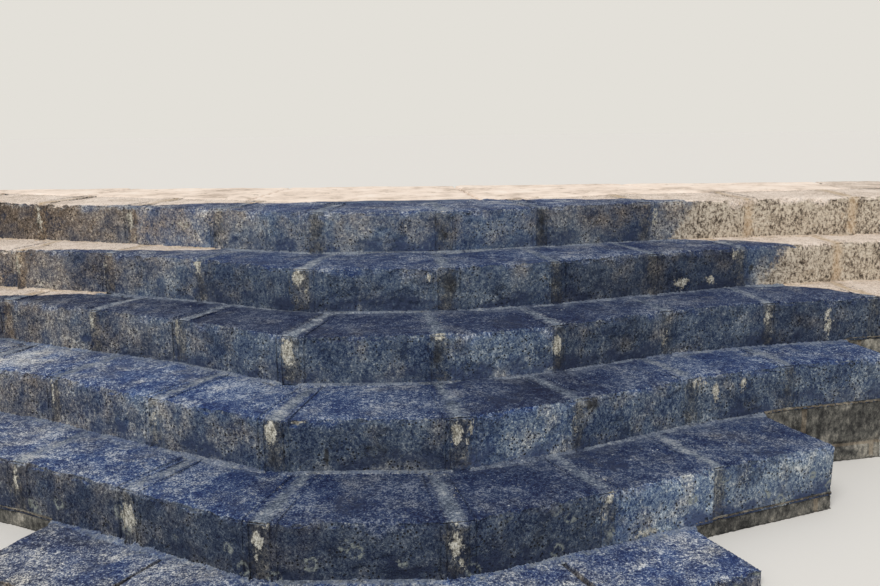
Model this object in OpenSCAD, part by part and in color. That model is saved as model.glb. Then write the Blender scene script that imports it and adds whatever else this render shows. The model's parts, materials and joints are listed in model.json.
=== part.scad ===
// Bowed flight of five garden steps, laid in courses of cut limestone on a low footing course.
// X runs to the right, -Y points down the flight, Z is up, and the base stands on z = 0.
// Each course is a chain of stones: a centre stone, then stones that turn back on either side.

/* [Flight] */
// Height of one riser
rise = 170; // [150:5:180]
// Distance from nose to nose on the centre line
going = 355; // [350:5:400]
// Depth of a stone from its nose to its back
stone_depth = 350; // [330:5:360]
// Height of the footing course above the lowest ground
footing_rise = 60; // [40:5:120]
// Distance from the top centre nose to the flat back of the flight
back_depth = 1180; // [1120:10:1400]
// Thickness of the landing slab behind the top course
landing_thickness = 60; // [40:5:80]
// Thickness of the two flank walls
flank_thickness = 350; // [300:10:400]

/* [Stones] */
// Radius worn on the top edge of a nose
nose_radius = 25; // [10:1:40]
// Radius worn on the upright corners of a stone
corner_radius = 10; // [4:1:16]
// Width at the nose of the two mortar joints beside a centre stone
centre_joint = 56; // [30:1:60]
// Width at the nose of the other mortar joints
wing_joint = 36; // [24:1:48]
// Width of every mortar joint at the back of the stones
joint_back = 26; // [12:1:30]
// Width of the mortar fillet along the foot of each riser
fillet_width = 16; // [12:1:36]
// Height of the mortar fillet along the foot of each riser
fillet_height = 8; // [4:1:16]
// Width of the open joints between footing stones, which are laid dry
footing_joint = 9; // [6:1:14]
// Width of the open joints between landing slabs
landing_joint = 6; // [4:1:12]

/* [Setting out] */
// Lengths of the centre stones, from the top course down to the footing
centre_runs = [520, 550, 520, 580, 550, 550]; // [500:10:600]
// Shifts of the centre stones to the right, in the same order
centre_shifts = [5, 0, -10, 20, 20, 0]; // [-30:5:30]
// Top course, left of centre: each stone's run and its turn from the centre line in degrees
left_1 = [[460, 19], [440, 20], [500, 20], [500, 18], [540, 10]]; // [0:1:600]
// Top course, right of centre
right_1 = [[430, 15], [490, 18], [490, 11], [480, 5], [490, 2]]; // [0:1:600]
// Second course, left of centre
left_2 = [[490, 28], [460, 23], [450, 17], [450, 16], [460, 10]]; // [0:1:600]
// Second course, right of centre
right_2 = [[440, 15], [440, 21], [430, 21], [450, 12], [490, 6]]; // [0:1:600]
// Third course, left of centre
left_3 = [[520, 32], [420, 25], [480, 26], [450, 18], [280, 10]]; // [0:1:600]
// Third course, right of centre
right_3 = [[440, 17], [480, 26], [440, 16], [460, 12], [280, 8]]; // [0:1:600]
// Fourth course, left of centre
left_4 = [[480, 27], [500, 31], [430, 24], [430, 16]]; // [0:1:600]
// Fourth course, right of centre
right_4 = [[420, 23], [480, 28], [420, 21], [420, 14]]; // [0:1:600]
// Bottom course, left of centre
left_5 = [[490, 29], [480, 28], [470, 24]]; // [0:1:600]
// Bottom course, right of centre
right_5 = [[480, 23], [410, 25], [470, 23]]; // [0:1:600]
// Footing course, left of centre
left_6 = [[490, 29], [480, 28]]; // [0:1:600]
// Footing course, right of centre
right_6 = [[480, 25], [480, 25]]; // [0:1:600]
// Joints of the landing: how far each lies from the centre line at the back, and its turn in degrees
landing_joints = [[-1370, -20], [-540, -8], [330, 8], [1210, 20]]; // [-2000:5:2000]

/* [Hidden] */
stone_colour = "#4d5257";
mortar_colour = "#a8997f";
landing_colour = "#d9c7ab";
courses = 5;
footing = courses + 1;
// Counted outwards from the centre stone, the first stone that shares an end node
first_end = 3;
// Straight pieces in a worn upright corner and in a worn nose
corner_steps = 4;
nose_steps = 6;
// How far a profile runs past the stone that is cut from it, and how far a cutter runs past a face
overrun = 120;
overcut = 1;
left_legs = [left_1, left_2, left_3, left_4, left_5, left_6];
right_legs = [right_1, right_2, right_3, right_4, right_5, right_6];

// Plan geometry: points, directions and the chains of stones

function unit(v) = v / norm(v);
function turned(v, angle) = [v.x * cos(angle) - v.y * sin(angle), v.x * sin(angle) + v.y * cos(angle)];
function reversed(list) = [for (i = [len(list) - 1 : -1 : 0]) list[i]];
function last(list) = list[len(list) - 1];

// Points reached by laying one run after another, to the left (side -1) or the right (side 1)
function walk(start, side, legs, i = 0) =
    i >= len(legs) ? [] :
    let (next = start + legs[i][0] * [side * cos(legs[i][1]), sin(legs[i][1])])
    concat([next], walk(next, side, legs, i + 1));

// Nose line of a course from its left end to its right end
function nose_line(course) =
    let (y = -(course - 1) * going,
         middle = centre_shifts[course - 1],
         half = centre_runs[course - 1] / 2,
         left = [middle - half, y],
         right = [middle + half, y])
    concat(reversed(walk(left, -1, left_legs[course - 1])), [left, right],
           walk(right, 1, right_legs[course - 1]));

// Nose lines of all courses, worked out once
noses = [for (course = [1 : footing]) nose_line(course)];
function line_of(course) = noses[course - 1];
function stone_count(course) = len(line_of(course)) - 1;
function centre_index(course) = len(left_legs[course - 1]);

// Direction along stone i, its inward normal, and the line of the joint at point i
function along(p, i) = unit(p[i + 1] - p[i]);
function inward(p, i) = turned(along(p, i), 90);
function joint_line(p, i) =
    i == 0 ? inward(p, 0) :
    i == len(p) - 1 ? inward(p, i - 1) :
    unit(inward(p, i - 1) + inward(p, i));
function back_point(p, i, stone) =
    p[i] + joint_line(p, i) * stone_depth / (joint_line(p, i) * inward(p, stone));

// Half the width of the mortar at the nose of joint i: the centre stone's joints lie furthest forward
function half_joint(p, i) =
    (p[i].y == min([for (point = p) point.y]) ? centre_joint : wing_joint) / 2;

// Corners of stone i in plan: nose left, nose right, back right, back left
function stone_corners(p, i) =
    let (t = along(p, i),
         free_left = i == 0,
         free_right = i == len(p) - 2)
    [p[i] + (free_left ? 0 : half_joint(p, i)) * t,
     p[i + 1] - (free_right ? 0 : half_joint(p, i + 1)) * t,
     back_point(p, i + 1, i) - (free_right ? 0 : joint_back / 2) * t,
     back_point(p, i, i) + (free_left ? 0 : joint_back / 2) * t];

// Corners of footing stone i in plan, with half an open joint at either end
function footing_corners(p, i) =
    let (gap = footing_joint / 2 * along(p, i))
    [p[i] + gap, p[i + 1] - gap, back_point(p, i + 1, i) - gap, back_point(p, i, i) + gap];

// Arc that rounds corner c between the points before and after it
function worn_corner(before, c, after) =
    let (u = unit(before - c),
         v = unit(after - c),
         half = acos(u * v) / 2,
         centre = c + unit(u + v) * corner_radius / sin(half),
         start = c + u * corner_radius / tan(half) - centre)
    [for (s = [0 : corner_steps]) centre + turned(start, (180 - 2 * half) * s / corner_steps)];

function stone_plan(p, i) =
    let (c = stone_corners(p, i))
    concat(worn_corner(c[3], c[0], c[1]), worn_corner(c[0], c[1], c[2]), [c[2], c[3]]);

// Mortar wedge at point j, between the worn corners of the stones on either side
function wedge_plan(p, j) =
    let (a = stone_corners(p, j - 1),
         b = stone_corners(p, j))
    [last(worn_corner(a[0], a[1], a[2])), worn_corner(b[3], b[0], b[1])[0], b[3], a[2]];

// Line of the stones' backs, and the plan of a whole course out to its flanks
function back_line(p) =
    [for (i = [0 : len(p) - 2]) each [stone_corners(p, i)[3], stone_corners(p, i)[2]]];
function core_plan(p) =
    let (b = back_line(p))
    concat(b, [[last(b).x, back_depth], [b[0].x, back_depth]]);
function course_plan(p) =
    let (b = back_line(p))
    concat(p, [last(b), [last(b).x, back_depth], [b[0].x, back_depth], b[0]]);

// Band in front of a riser, for the mortar fillet at its foot
function band_plan(p, width) =
    concat([for (i = [0 : len(p) - 1])
                p[i] - joint_line(p, i) * width / (joint_line(p, i) * inward(p, min(i, len(p) - 2)))],
           reversed(p));

function height_of(course) = course == footing ? footing_rise : rise;
function underside(course) = course == footing ? 0 : footing_rise + (courses - course) * rise;

// The origin is the middle of the whole flight's base
left_edge = line_of(1)[0].x;
right_edge = last(line_of(1)).x;
front_edge = line_of(footing)[centre_index(footing)].y;
middle_x = (left_edge + right_edge) / 2;
middle_y = (front_edge + back_depth) / 2;
flank_left_x = back_line(line_of(1))[0].x;
flank_right_x = last(back_line(line_of(1))).x;

// Side view of a stone: square below, with a worn top edge at the nose
function profile_points(height) =
    let (radius = min(nose_radius, height / 2),
         centre = [radius, height - radius],
         reach = stone_depth + overrun)
    concat([for (s = [0 : nose_steps]) centre + turned([-radius, 0], -90 * s / nose_steps)],
           [[reach, height], [reach, 0], [0, 0]]);

// A piece of a course: a plan outline cut from a profile that runs along direction t from point at
module worn_piece(plan, at, t, height) {
    intersection() {
        translate([0, 0, -overcut]) linear_extrude(height + 2 * overcut) polygon(plan);
        translate([at.x, at.y, 0]) rotate(atan2(t.y, t.x)) translate([-overrun, 0, 0])
            rotate([90, 0, 90]) linear_extrude(2 * overrun + max(centre_runs)) polygon(profile_points(height));
    }
}

module stone(course, i) {
    p = line_of(course);
    translate([0, 0, underside(course)])
        worn_piece(stone_plan(p, i), p[i], along(p, i), height_of(course));
}

module wedge(course, j) {
    p = line_of(course);
    plan = wedge_plan(p, j);
    t = turned(joint_line(p, j), -90);
    setback = (plan[0] - p[j]) * joint_line(p, j);
    start = p[j] + setback * joint_line(p, j) - overrun * t;
    translate([0, 0, underside(course)]) worn_piece(plan, start, t, height_of(course));
}

// Stones from first to last, counted outwards from the centre stone: 0 is the centre itself
module stones_left(course, first, end) {
    color(stone_colour) for (n = [first : end]) stone(course, centre_index(course) - n);
}

module stones_right(course, first, end) {
    color(stone_colour) for (n = [first : end]) stone(course, centre_index(course) + n);
}

module left_end(course) {
    stones_left(course, first_end, len(left_legs[course - 1]));
}

module right_end(course) {
    stones_right(course, first_end, len(right_legs[course - 1]));
}

// Mortar wedges between the stones of a step
module step_mortar(course) {
    color(mortar_colour) for (j = [1 : stone_count(course) - 1]) wedge(course, j);
}

// Mortar strips on the treads and the footing, along the foot of each riser
module riser_fillets() {
    color(mortar_colour) for (course = [1 : courses])
        translate([0, 0, underside(course)]) linear_extrude(fillet_height) intersection() {
            polygon(band_plan(line_of(course), fillet_width));
            polygon(course_plan(line_of(course + 1)));
        }
}

// Low course of dry-laid stones in front of the bottom riser
module footing_course() {
    p = line_of(footing);
    color(stone_colour) for (i = [0 : stone_count(footing) - 1])
        linear_extrude(footing_rise) polygon(footing_corners(p, i));
}

// Part of the plan between the two flank walls
module between_flanks() {
    translate([flank_left_x + flank_thickness, front_edge])
        square([flank_right_x - flank_left_x - 2 * flank_thickness, back_depth - front_edge + overcut]);
}

// Part of the plan on the other side of the centre line from a flank wall
module other_side(side) {
    width = flank_right_x - flank_left_x;
    translate([side < 0 ? 0 : -width, front_edge]) square([width, back_depth - front_edge + overcut]);
}

// Slabs behind the top course, with open joints that run back between them
module landing() {
    color(landing_colour) translate([0, 0, underside(1) + rise - landing_thickness])
        linear_extrude(landing_thickness) difference() {
            intersection() {
                polygon(core_plan(line_of(1)));
                between_flanks();
            }
            for (joint = landing_joints)
                translate([joint[0], back_depth]) rotate(joint[1])
                    translate([-landing_joint / 2, -2 * back_depth]) square([landing_joint, 3 * back_depth]);
        }
}

// Rubble and mortar filling behind the stones, down to the ground
module hearting() {
    color(mortar_colour) {
        translate([0, 0, underside(1)]) linear_extrude(rise - landing_thickness) intersection() {
            polygon(core_plan(line_of(1)));
            between_flanks();
        }
        for (course = [2 : footing])
            translate([0, 0, underside(course)]) linear_extrude(height_of(course))
                polygon(core_plan(line_of(course)));
    }
}

// Walling that carries the ends of the courses down to the ground, on the left (-1) or the right (1)
module flank_wall(side) {
    color(stone_colour) {
        translate([0, 0, underside(1)]) linear_extrude(rise) difference() {
            polygon(core_plan(line_of(1)));
            between_flanks();
            other_side(side);
        }
        for (course = [2 : footing])
            translate([0, 0, underside(course)]) linear_extrude(height_of(course)) difference() {
                for (above = [1 : course - 1]) polygon(course_plan(line_of(above)));
                polygon(course_plan(line_of(course)));
                other_side(side);
            }
    }
}

module placed() {
    translate([-middle_x, -middle_y, 0]) children();
}

placed() stones_left(1, 0, 0);  // step_1_centre
placed() stones_left(1, 1, 1);  // step_1_left_1
placed() stones_left(1, 2, 2);  // step_1_left_2
placed() left_end(1);  // step_1_left_end
placed() stones_right(1, 1, 1);  // step_1_right_1
placed() stones_right(1, 2, 2);  // step_1_right_2
placed() right_end(1);  // step_1_right_end
placed() step_mortar(1);  // step_1_mortar
placed() stones_left(2, 0, 0);  // step_2_centre
placed() stones_left(2, 1, 1);  // step_2_left_1
placed() stones_left(2, 2, 2);  // step_2_left_2
placed() left_end(2);  // step_2_left_end
placed() stones_right(2, 1, 1);  // step_2_right_1
placed() stones_right(2, 2, 2);  // step_2_right_2
placed() right_end(2);  // step_2_right_end
placed() step_mortar(2);  // step_2_mortar
placed() stones_left(3, 0, 0);  // step_3_centre
placed() stones_left(3, 1, 1);  // step_3_left_1
placed() stones_left(3, 2, 2);  // step_3_left_2
placed() left_end(3);  // step_3_left_end
placed() stones_right(3, 1, 1);  // step_3_right_1
placed() stones_right(3, 2, 2);  // step_3_right_2
placed() right_end(3);  // step_3_right_end
placed() step_mortar(3);  // step_3_mortar
placed() stones_left(4, 0, 0);  // step_4_centre
placed() stones_left(4, 1, 1);  // step_4_left_1
placed() stones_left(4, 2, 2);  // step_4_left_2
placed() left_end(4);  // step_4_left_end
placed() stones_right(4, 1, 1);  // step_4_right_1
placed() stones_right(4, 2, 2);  // step_4_right_2
placed() right_end(4);  // step_4_right_end
placed() step_mortar(4);  // step_4_mortar
placed() stones_left(5, 0, 0);  // step_5_centre
placed() stones_left(5, 1, 1);  // step_5_left_1
placed() stones_left(5, 2, 2);  // step_5_left_2
placed() left_end(5);  // step_5_left_end
placed() stones_right(5, 1, 1);  // step_5_right_1
placed() stones_right(5, 2, 2);  // step_5_right_2
placed() right_end(5);  // step_5_right_end
placed() step_mortar(5);  // step_5_mortar
placed() riser_fillets();
placed() footing_course();
placed() landing();
placed() hearting();
placed() flank_wall(-1);  // left_flank_wall
placed() flank_wall(1);  // right_flank_wall
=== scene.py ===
"""Looks of a bowed flight of garden steps: worn limestone blocks with lime mortar between them."""

import json
import math

import bpy
import numpy as np
from mathutils import Matrix, Vector, noise
from mathutils.bvhtree import BVHTree

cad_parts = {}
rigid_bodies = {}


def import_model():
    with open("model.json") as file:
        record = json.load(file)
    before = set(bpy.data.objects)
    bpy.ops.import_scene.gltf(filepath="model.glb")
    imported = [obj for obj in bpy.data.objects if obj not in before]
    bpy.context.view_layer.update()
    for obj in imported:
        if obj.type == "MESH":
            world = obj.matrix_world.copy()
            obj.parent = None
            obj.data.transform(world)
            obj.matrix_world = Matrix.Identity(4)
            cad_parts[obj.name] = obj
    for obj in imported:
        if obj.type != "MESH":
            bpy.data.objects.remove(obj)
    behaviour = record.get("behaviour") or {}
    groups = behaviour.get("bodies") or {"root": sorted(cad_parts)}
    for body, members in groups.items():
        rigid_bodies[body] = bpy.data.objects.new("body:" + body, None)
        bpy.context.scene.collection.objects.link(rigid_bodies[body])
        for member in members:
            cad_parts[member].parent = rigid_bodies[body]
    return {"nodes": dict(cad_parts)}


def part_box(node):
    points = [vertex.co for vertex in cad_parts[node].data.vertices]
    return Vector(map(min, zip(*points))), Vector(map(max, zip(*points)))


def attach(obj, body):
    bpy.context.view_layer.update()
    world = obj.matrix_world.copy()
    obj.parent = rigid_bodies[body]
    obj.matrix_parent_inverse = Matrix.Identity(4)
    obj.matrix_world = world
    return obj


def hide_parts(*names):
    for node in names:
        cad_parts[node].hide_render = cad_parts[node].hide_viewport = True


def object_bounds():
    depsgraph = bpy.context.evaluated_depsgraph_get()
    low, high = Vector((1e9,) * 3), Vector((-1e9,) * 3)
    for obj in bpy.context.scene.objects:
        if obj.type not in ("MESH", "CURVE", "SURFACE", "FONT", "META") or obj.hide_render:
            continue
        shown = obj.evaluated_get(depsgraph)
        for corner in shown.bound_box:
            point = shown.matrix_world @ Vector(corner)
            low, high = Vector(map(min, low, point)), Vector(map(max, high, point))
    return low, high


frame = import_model()
cad_low, cad_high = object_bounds()

# Lengths are in metres: +X to the right seen from the foot, +Y up the flight, +Z up
MM = 0.001
# Courses of step stones from the top down, and the number of the footing below them
COURSES = (1, 2, 3, 4, 5)
FOOTING = 6
STONE_KEYS = ("left_end", "left_2", "left_1", "centre", "right_1", "right_2", "right_end")
TOPS = {course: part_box(f"step_{course}_centre")[1].z for course in COURSES}
TOPS[FOOTING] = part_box("footing_course")[1].z
RISE = TOPS[1] - TOPS[2]
BACK = cad_high[1]

# Viewpoint of the photo, fitted to the noses and the riser feet
IMAGE_WIDTH = 880
FOCAL_PIXELS = 918
SENSOR = 36
CAMERA_PLACE = Vector((0.241, -3.405, 1.315))
CAMERA_PITCH = math.radians(11.48)
CAMERA_ROLL = math.radians(-0.55)

# Mesh size of each course's stones, finest where the camera is nearest, and triangles for each stone
GRAIN = {1: 7.5 * MM, 2: 7 * MM, 3: 6.5 * MM, 4: 6 * MM, 5: 5.5 * MM, FOOTING: 6 * MM}
STONE_TRIANGLES = {1: 8000, 2: 9500, 3: 10500, 4: 12500, 5: 15000, FOOTING: 6000}
# The same for each joint, each line of mortar, each slab of the landing and each wall
WEDGE_TRIANGLES = 2400
FILLET_GRAIN, FILLET_TRIANGLES = 4 * MM, 7000
SLAB_GRAIN, SLAB_TRIANGLES = 15 * MM, 8000
WALL_GRAIN, WALL_TRIANGLES = 8 * MM, 45000

chance = np.random.default_rng(11)


# Selecting, copying and finishing meshes

# Points of a CAD mesh nearer to each other than this are one
MERGED = 0.01 * MM
# Weights of a vertex group are rounded to this many steps
WEIGHT_STEPS = 20


def pick(*pieces):
    """Selects these pieces alone and makes the first one active."""
    for other in bpy.context.scene.objects:
        other.select_set(False)
    for piece in pieces:
        piece.select_set(True)
    bpy.context.view_layer.objects.active = pieces[0]


def copy_of(node, name):
    """A new piece with a CAD node's mesh, its doubles merged."""
    mesh = frame["nodes"][node].data.copy()
    mesh.materials.clear()
    piece = bpy.data.objects.new(name, mesh)
    bpy.context.scene.collection.objects.link(piece)
    pick(piece)
    bpy.ops.mesh.customdata_custom_splitnormals_clear()
    bpy.ops.object.mode_set(mode="EDIT")
    bpy.ops.mesh.select_all(action="SELECT")
    bpy.ops.mesh.remove_doubles(threshold=MERGED)
    bpy.ops.object.mode_set(mode="OBJECT")
    return piece


def cut_away(piece, place, direction):
    """Cuts a closed piece by a plane and takes off the side that the direction points to."""
    pick(piece)
    bpy.ops.object.mode_set(mode="EDIT")
    bpy.ops.mesh.select_all(action="SELECT")
    bpy.ops.mesh.bisect(plane_co=place, plane_no=direction, use_fill=True, clear_outer=True)
    bpy.ops.object.mode_set(mode="OBJECT")


def loose_parts(piece):
    """The piece split into its separate solids, from left to right."""
    pick(piece)
    bpy.ops.mesh.separate(type="LOOSE")
    parts = list(bpy.context.selected_objects)
    return sorted(parts, key=lambda part: sum(v.co.x for v in part.data.vertices) / len(part.data.vertices))


def joined(parts, name):
    """The parts made one piece."""
    pick(*parts)
    if len(parts) > 1:
        bpy.ops.object.join()
    piece = bpy.context.view_layer.objects.active
    piece.name = name
    return piece


def modify(piece, kind, **settings):
    """Adds a modifier and applies it."""
    modifier = piece.modifiers.new(kind.title(), kind)
    for key, value in settings.items():
        setattr(modifier, key, value)
    pick(piece)
    bpy.ops.object.modifier_apply(modifier=modifier.name)


def points(piece):
    """Places of all points, a row for each."""
    flat = np.zeros(len(piece.data.vertices) * 3)
    piece.data.vertices.foreach_get("co", flat)
    return flat.reshape(-1, 3)


def normals(piece):
    """Normals of all points, a row for each."""
    flat = np.zeros(len(piece.data.vertices) * 3)
    piece.data.vertices.foreach_get("normal", flat)
    return flat.reshape(-1, 3)


def ease(value, low, high):
    """Smooth step from 0 at low to 1 at high."""
    share = np.clip((value - low) / (high - low), 0, 1)
    return share * share * (3 - 2 * share)


def weigh(piece, name, weights):
    """A vertex group with one weight for each point."""
    group = piece.vertex_groups.new(name=name)
    levels = np.round(np.clip(weights, 0, 1) * WEIGHT_STEPS).astype(int)
    for level in range(1, WEIGHT_STEPS + 1):
        chosen = np.nonzero(levels == level)[0]
        if len(chosen):
            group.add(chosen.tolist(), level / WEIGHT_STEPS, "REPLACE")


def note(piece, name, values):
    """A number for each point, which the materials read by name."""
    layer = piece.data.attributes.new(name, "FLOAT", "POINT")
    layer.data.foreach_set("value", np.broadcast_to(values, len(piece.data.vertices)).astype(np.float32))


def thin_out(piece, triangles):
    """Fewer triangles, taken first where the surface is flat."""
    now = sum(len(face.vertices) - 2 for face in piece.data.polygons)
    if now > triangles:
        modify(piece, "DECIMATE", ratio=triangles / now)


def finish_piece(piece, material, node):
    """Smooth shading and its material, hung on the root body, with the CAD node that it stands for hidden."""
    pick(piece)
    bpy.ops.object.shade_smooth()
    piece.data.materials.clear()
    piece.data.materials.append(material)
    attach(piece, "root")
    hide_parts(node)


# Patterns that shape the stone: slow heaves, tool marks, lumps, pits, chipped edges and coarse sand

def relief(name, kind, size, **settings):
    """A pattern for pushing a surface in, size across in metres."""
    pattern = bpy.data.textures.new(name, kind)
    pattern.noise_scale = size
    pattern.use_clamp = True
    for key, value in settings.items():
        setattr(pattern, key, value)
    return pattern


HEAVE = relief("heave", "CLOUDS", 170 * MM, noise_depth=1, contrast=1.3)
HEWN = relief("hewn", "CLOUDS", 42 * MM, noise_depth=3, noise_basis="IMPROVED_PERLIN", contrast=1.5)
LUMPS = relief("lumps", "STUCCI", 26 * MM, turbulence=8)
PITS = relief("pits", "VORONOI", 30 * MM, noise_intensity=1.6, contrast=2.0)
CHIPS = relief("chips", "CLOUDS", 34 * MM, noise_depth=2, contrast=2.6)
SAND = relief("sand", "CLOUDS", 16 * MM, noise_depth=2, contrast=1.4)
# How deep they go into the steps
HEAVE_DEPTH = 10 * MM
HEWN_DEPTH = 6 * MM
LUMPS_DEPTH = 2.5 * MM
PITS_DEPTH = 7 * MM
CHIPS_DEPTH = 9 * MM


def press_in(piece, pattern, depth, group, direction="NORMAL"):
    """Pushes the surface in by up to depth, following a pattern, where the group has weight. Along an axis
    a positive depth is down or forwards, and a negative one up or back."""
    modify(piece, "DISPLACE", texture=pattern, texture_coords="LOCAL", strength=depth, mid_level=1.0,
           vertex_group=group, direction=direction)


def push(piece, distance, group, direction="NORMAL"):
    """Moves the surface outwards, or along an axis, by the same distance everywhere in the group."""
    modify(piece, "DISPLACE", strength=distance, mid_level=0.0, direction=direction, vertex_group=group)


def shift(piece, distance, way, group, weights):
    """Moves the points with weight by a distance along a level direction."""
    weigh(piece, group, weights)
    for axis, share in zip("XY", way):
        if abs(share) > 0.001:
            push(piece, distance * share, group, axis)


# What lies next to each stone

def surface_of(nodes):
    """Search tree over the surfaces of several CAD nodes."""
    places, faces = [], []
    for node in nodes:
        mesh = frame["nodes"][node].data
        start = len(places)
        places += [v.co.copy() for v in mesh.vertices]
        faces += [[start + i for i in face.vertices] for face in mesh.polygons]
    return BVHTree.FromPolygons(places, faces)


def nodes_of(course):
    """Names of a course's stones."""
    return [f"step_{course}_{key}" for key in STONE_KEYS]


COURSE_ABOVE = {course: surface_of([*nodes_of(course - 1), f"step_{course - 1}_mortar"])
                for course in (*COURSES[1:], FOOTING)}
JOINTS = {course: surface_of([f"step_{course}_mortar"]) for course in COURSES}
STONES = {course: surface_of(nodes_of(course)) for course in COURSES}
# How far the look of stone and mortar runs over their seam, and dust out from the foot of a riser
SEAM_REACH = 34 * MM
DUST_REACH = 130 * MM


def nearness(places, tree, reach):
    """1 on the surface, falling to 0 at reach from it, and 0 everywhere where there is no surface."""
    near = np.zeros(len(places))
    if tree is not None:
        for i, place in enumerate(places):
            gap = tree.find_nearest(Vector(place), reach)[3]
            if gap is not None:
                near[i] = 1 - gap / reach
    return near


def bonding(places, course):
    """0 in the stone, 1 in the mortar and a half where they meet, changing over SEAM_REACH on either side."""
    bond = np.zeros(len(places))
    if course in JOINTS:
        for i, place in enumerate(places):
            edge, outward, _, gap = JOINTS[course].find_nearest(Vector(place), SEAM_REACH)
            if edge is not None and (Vector(place) - edge).dot(outward) > 0:
                bond[i] = 0.5 - 0.5 * gap / SEAM_REACH
            elif edge is not None:
                gap = STONES[course].find_nearest(Vector(place), SEAM_REACH)[3]
                bond[i] = 1.0 if gap is None else 0.5 + 0.5 * gap / SEAM_REACH
    return bond


def clouds(places, size, offset):
    """Smooth noise from about 0 to 1 at each place, size across in metres."""
    start = Vector((offset, offset, offset))
    return np.array([noise.noise(Vector(place) / size + start) for place in places]) * 0.5 + 0.5


# How pale the stones are

# Riser of each stone from left to right, from 0 dark to 1 pale, and beyond 1 where it is paler still
TONES = {
    1: [0.50, 0.40, 0.45, 1.50, 0.85, 0.90, 1.00, 0.45, 0.60, 0.80, 0.80],
    2: [0.75, 0.70, 0.65, 0.75, 0.35, 0.50, 0.45, 0.05, 0.10, 0.60, 0.70],
    3: [0.50, 0.50, 0.60, 0.50, 0.60, 0.50, 0.95, 0.25, 0.35, 0.10, 0.10],
    4: [0.50, 0.60, 0.90, 0.55, 0.30, 1.20, 0.70, 0.50, 0.50],
    5: [0.20, 0.20, 0.00, 0.00, 0.15, 1.45, 0.90],
    FOOTING: [0.60, 0.70, 0.60, 0.85, 0.90],
}
# Treads, at each of these places from left to right
TREAD_SPAN = (-1.2, -0.6, 0.0, 0.6, 1.2)
TREAD_TONES = {
    1: (0.60, 0.50, 0.45, 0.45, 0.45),
    2: (0.45, 0.35, 0.25, 0.25, 0.25),
    3: (0.05, -0.15, -0.05, -0.05, 0.05),
    4: (1.00, 0.80, 0.40, -0.25, 0.50),
    5: (1.00, 0.65, 0.00, -0.05, 0.15),
    FOOTING: (1.00, 1.00, 0.90, 1.10, 1.20),
}
# How light the mortar of each joint is, from left to right
FRESH = {
    1: [0.6, 0.6, 0.7, 0.6, 0.5, 0.3, 0.2, 0.4, 0.7, 0.8],
    2: [0.6, 0.6, 0.5, 0.5, 0.5, 0.2, 0.2, 0.3, 0.6, 0.9],
    3: [0.5, 0.5, 0.6, 0.6, 0.5, 0.1, 0.3, 0.2, 0.4, 0.3],
    4: [0.5, 0.5, 0.5, 0.4, 0.3, 0.1, 0.4, 0.4],
    5: [0.5, 0.6, 0.3, 0.2, 0.3, 0.5],
}

# Pale patches on the risers, where mortar or clean stone shows through the dark skin: the place along the
# course in metres, the height on the riser from 0 to 1, half the width and height in mm, and the strength
PALE = {
    1: [(-1.59, 0.50, 16, 80, 0.8), (-1.12, 0.60, 18, 50, 0.9), (-0.86, 0.50, 70, 34, 0.5),
        (-0.71, 0.55, 14, 60, 0.4), (0.26, 0.96, 22, 18, 0.8), (1.18, 0.54, 20, 60, 0.6),
        (1.61, 0.40, 24, 90, 0.8), (2.11, 0.48, 24, 90, 0.9)],
    2: [(-1.58, 0.55, 18, 80, 0.7), (-1.16, 0.54, 16, 60, 0.5), (-0.72, 0.80, 20, 36, 0.9),
        (-0.29, 0.74, 24, 34, 1.0), (-0.26, 0.45, 14, 30, 0.5), (0.25, 0.98, 22, 18, 0.9),
        (0.20, 0.72, 12, 24, 0.7), (0.64, 0.65, 16, 30, 0.5), (1.23, 0.17, 36, 24, 0.9),
        (1.36, 0.20, 30, 22, 0.8), (1.47, 0.77, 22, 28, 0.7), (1.94, 0.46, 50, 95, 1.0)],
    3: [(-1.11, 0.70, 12, 50, 0.8), (-0.73, 0.68, 14, 60, 0.7), (-0.28, 0.60, 24, 60, 1.0),
        (0.24, 0.93, 24, 20, 1.0), (0.65, 0.48, 20, 42, 1.0), (1.08, 0.35, 22, 40, 0.6),
        (1.51, 0.60, 24, 56, 0.6), (1.77, 0.42, 22, 90, 0.7)],
    4: [(-1.14, 0.57, 9, 70, 0.7), (-0.70, 0.55, 14, 60, 0.5), (-0.28, 0.66, 22, 40, 1.0),
        (-0.20, 0.86, 34, 12, 0.7), (0.29, 0.62, 22, 40, 1.0), (0.33, 0.72, 12, 26, 0.9),
        (0.32, 0.38, 8, 26, 0.7), (0.67, 0.45, 10, 60, 0.6), (1.13, 0.80, 44, 34, 0.6),
        (1.20, 0.60, 20, 44, 0.7), (1.31, 0.67, 20, 36, 0.7)],
    5: [(-1.12, 0.60, 10, 80, 0.7), (-0.69, 0.42, 30, 50, 1.0), (-0.26, 0.62, 16, 30, 1.0),
        (-0.27, 0.35, 14, 22, 0.8), (-0.24, 0.90, 22, 18, 0.8), (0.28, 0.52, 20, 42, 1.0),
        (0.29, 0.22, 14, 22, 0.8), (0.28, 0.93, 16, 16, 0.8), (0.73, 0.85, 16, 30, 0.9),
        (0.71, 0.50, 12, 36, 0.7), (0.86, 0.03, 60, 22, 0.7)],
}
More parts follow.
